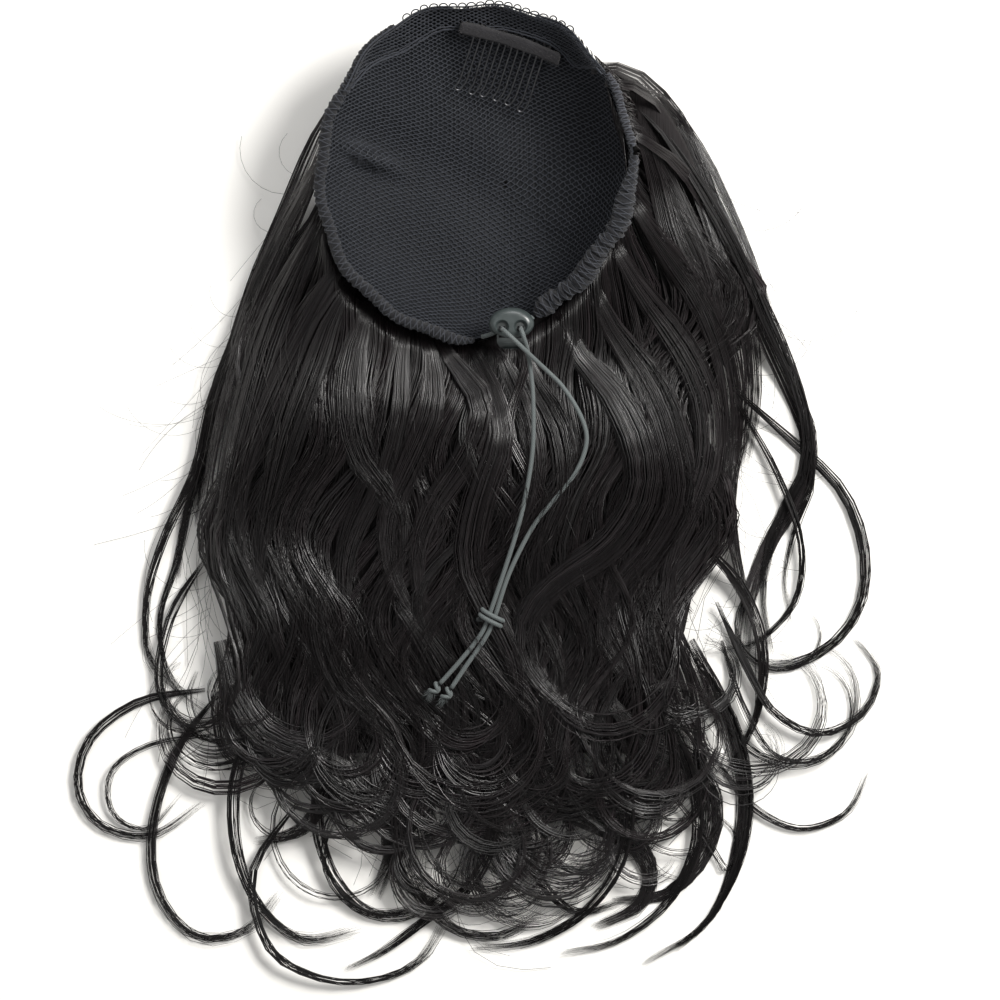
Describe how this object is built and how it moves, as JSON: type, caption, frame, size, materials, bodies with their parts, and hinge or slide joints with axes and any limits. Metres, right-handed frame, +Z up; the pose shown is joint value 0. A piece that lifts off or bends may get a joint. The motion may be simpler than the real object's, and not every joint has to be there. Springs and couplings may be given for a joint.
{
  "type": "drawstring ponytail hairpiece",
  "caption": "Long wavy clip-in ponytail lying on its hair, with an open net cap, a hair comb at the front edge, and an elastic drawstring through an oval cord lock.",
  "frame": {"origin": "on the surface it lies on, under the middle of the hairpiece without its cords", "axes": "+Z up out of the surface, +Y from the hair's tips to the comb end of the cap, +X to the right as seen from above"},
  "size_m": [0.3447, 0.4261, 0.0648],
  "materials": {
    "hair": "smooth synthetic hair with a soft sheen",
    "net": "open diamond net, matt",
    "hem_net": "doubled net, matt",
    "casing_cloth": "gathered and overcast, matt",
    "comb_cloth": "woven tape, slightly fuzzy",
    "comb_wire": "black coated wire with a slight shine",
    "toggle_plastic": "satin moulded plastic",
    "plunger_plastic": "satin moulded plastic",
    "elastic": "braided elastic cord, matt"
  },
  "bodies": {
    "hairpiece": {"hair_crown": "hair", "hair_lengths": "hair", "net_cap": "net", "hem_band": "hem_net", "rim_casing_left": "casing_cloth", "rim_casing_right": "casing_cloth", "weft_strip": "casing_cloth", "comb_bar": "comb_cloth", "comb_teeth": "comb_wire", "toggle_body": "toggle_plastic", "cord_front": "elastic", "cord_back": "elastic", "cord_knot": "elastic", "end_knot_front": "elastic", "end_knot_back": "elastic"},
    "plunger": {"toggle_plunger": "plunger_plastic"}
  },
  "joints": [
    {"name": "plunger_press", "type": "slide", "parent": "hairpiece", "child": "plunger", "axis": [0, 1, 0], "range_m": [0, 0.0025], "stiffness_N_per_m": 200}
  ]
}
